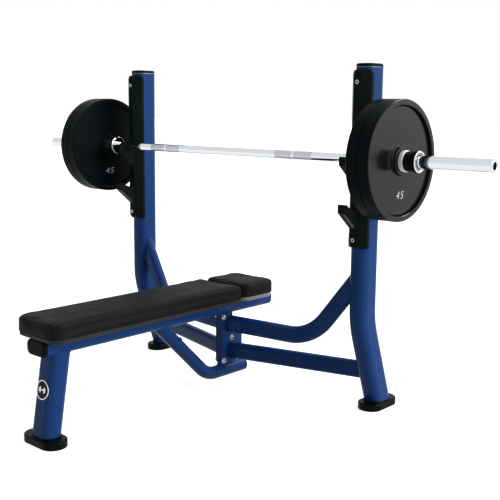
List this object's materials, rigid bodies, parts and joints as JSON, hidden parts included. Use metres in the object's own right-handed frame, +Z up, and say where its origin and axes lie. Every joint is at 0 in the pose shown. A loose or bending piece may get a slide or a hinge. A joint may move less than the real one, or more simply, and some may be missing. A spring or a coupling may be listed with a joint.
{
  "type": "olympic bench press",
  "caption": "A flat weight bench with two tall hooked uprights on a three-footed tube frame, holding a chromed bar loaded with weight plates for bench pressing.",
  "frame": {"origin": "on the floor under the middle of the footprint", "axes": "X along the bar, Y from the foot end of the bench to the uprights, Z up"},
  "size_m": [2.2, 1.1838, 1.2353],
  "materials": {
    "blue_paint": "semi-gloss powder coat",
    "black_plastic": "satin moulded",
    "badge_black": "gloss",
    "foot_rubber": "matt moulded",
    "vinyl": "fine-grained upholstery vinyl",
    "board": "sealed plywood edge",
    "bolt_steel": "zinc plated",
    "chrome": "polished",
    "grip_rubber": "matt",
    "plate_coating": "fine satin coating",
    "hub_steel": "machined"
  },
  "bodies": {
    "frame": {"upright_left": "blue_paint", "upright_right": "blue_paint", "bench_rail": "blue_paint", "rail_rear_cap": "blue_paint", "front_leg": "blue_paint", "brace_left": "blue_paint", "brace_right": "blue_paint", "cross_tube_left": "blue_paint", "cross_tube_right": "blue_paint", "post_flange_left": "blue_paint", "post_flange_right": "blue_paint", "centre_post": "blue_paint", "drop_tube": "blue_paint", "upright_cap_left": "black_plastic", "upright_cap_right": "black_plastic", "guard_left": "black_plastic", "guard_right": "black_plastic", "guard_end_left": "black_plastic", "guard_end_right": "black_plastic", "hook_upper_left": "black_plastic", "hook_upper_right": "black_plastic", "hook_lower_left": "black_plastic", "hook_lower_right": "black_plastic", "rail_front_cap": "black_plastic", "badge_disc": "badge_black", "foot_left": "foot_rubber", "foot_right": "foot_rubber", "foot_front": "foot_rubber", "main_pad": "vinyl", "head_pad": "vinyl", "main_pad_board": "board", "head_pad_board": "board", "post_bolt_upper": "bolt_steel", "post_bolt_middle": "bolt_steel", "post_bolt_lower": "bolt_steel", "guard_bolt_lower_left": "bolt_steel", "guard_bolt_lower_right": "bolt_steel", "guard_bolt_upper_left": "bolt_steel", "guard_bolt_upper_right": "bolt_steel"},
    "barbell": {"bar_shaft": "chrome"},
    "left_sleeve": {"sleeve_left": "chrome", "sleeve_plug_left": "black_plastic"},
    "left_outer_plate": {"plate_outer_left": "plate_coating", "plate_hub_outer_left": "hub_steel"},
    "left_inner_plate": {"plate_inner_left": "plate_coating", "plate_hub_inner_left": "hub_steel"},
    "left_collar": {"collar_inner_ring_left": "chrome", "collar_grip_left": "grip_rubber", "collar_outer_ring_left": "chrome"},
    "right_sleeve": {"sleeve_right": "chrome", "sleeve_plug_right": "black_plastic"},
    "right_outer_plate": {"plate_outer_right": "plate_coating", "plate_hub_outer_right": "hub_steel"},
    "right_inner_plate": {"plate_inner_right": "plate_coating", "plate_hub_inner_right": "hub_steel"},
    "right_collar": {"collar_inner_ring_right": "chrome", "collar_grip_right": "grip_rubber", "collar_outer_ring_right": "chrome"}
  },
  "joints": [
    {"name": "bar_lift", "type": "slide", "parent": "frame", "child": "barbell", "axis": [0, 0, 1], "range_m": [0, 0.3]},
    {"name": "left_sleeve_spin", "type": "hinge", "parent": "barbell", "child": "left_sleeve", "pos_m": [-0.87, 0.3009, 0.9192], "axis": [1, 0, 0], "continuous": true},
    {"name": "left_plate_slide", "type": "slide", "parent": "left_sleeve", "child": "left_outer_plate", "axis": [-1, 0, 0], "range_m": [0, 0.16]},
    {"name": "left_inner_plate_slide", "type": "slide", "parent": "left_sleeve", "child": "left_inner_plate", "axis": [-1, 0, 0], "range_m": [0, 0.08]},
    {"name": "left_collar_slide", "type": "slide", "parent": "left_sleeve", "child": "left_collar", "axis": [-1, 0, 0], "range_m": [0, 0.24]},
    {"name": "right_sleeve_spin", "type": "hinge", "parent": "barbell", "child": "right_sleeve", "pos_m": [0.87, 0.3009, 0.9192], "axis": [1, 0, 0], "continuous": true},
    {"name": "right_plate_slide", "type": "slide", "parent": "right_sleeve", "child": "right_outer_plate", "axis": [1, 0, 0], "range_m": [0, 0.16]},
    {"name": "right_inner_plate_slide", "type": "slide", "parent": "right_sleeve", "child": "right_inner_plate", "axis": [1, 0, 0], "range_m": [0, 0.08]},
    {"name": "right_collar_slide", "type": "slide", "parent": "right_sleeve", "child": "right_collar", "axis": [1, 0, 0], "range_m": [0, 0.24]}
  ],
  "couplings": [
    {"joint": "left_inner_plate_slide", "follows": "left_plate_slide", "ratio": 0.5},
    {"joint": "left_collar_slide", "follows": "left_plate_slide", "ratio": 1.5},
    {"joint": "right_inner_plate_slide", "follows": "right_plate_slide", "ratio": 0.5},
    {"joint": "right_collar_slide", "follows": "right_plate_slide", "ratio": 1.5}
  ]
}
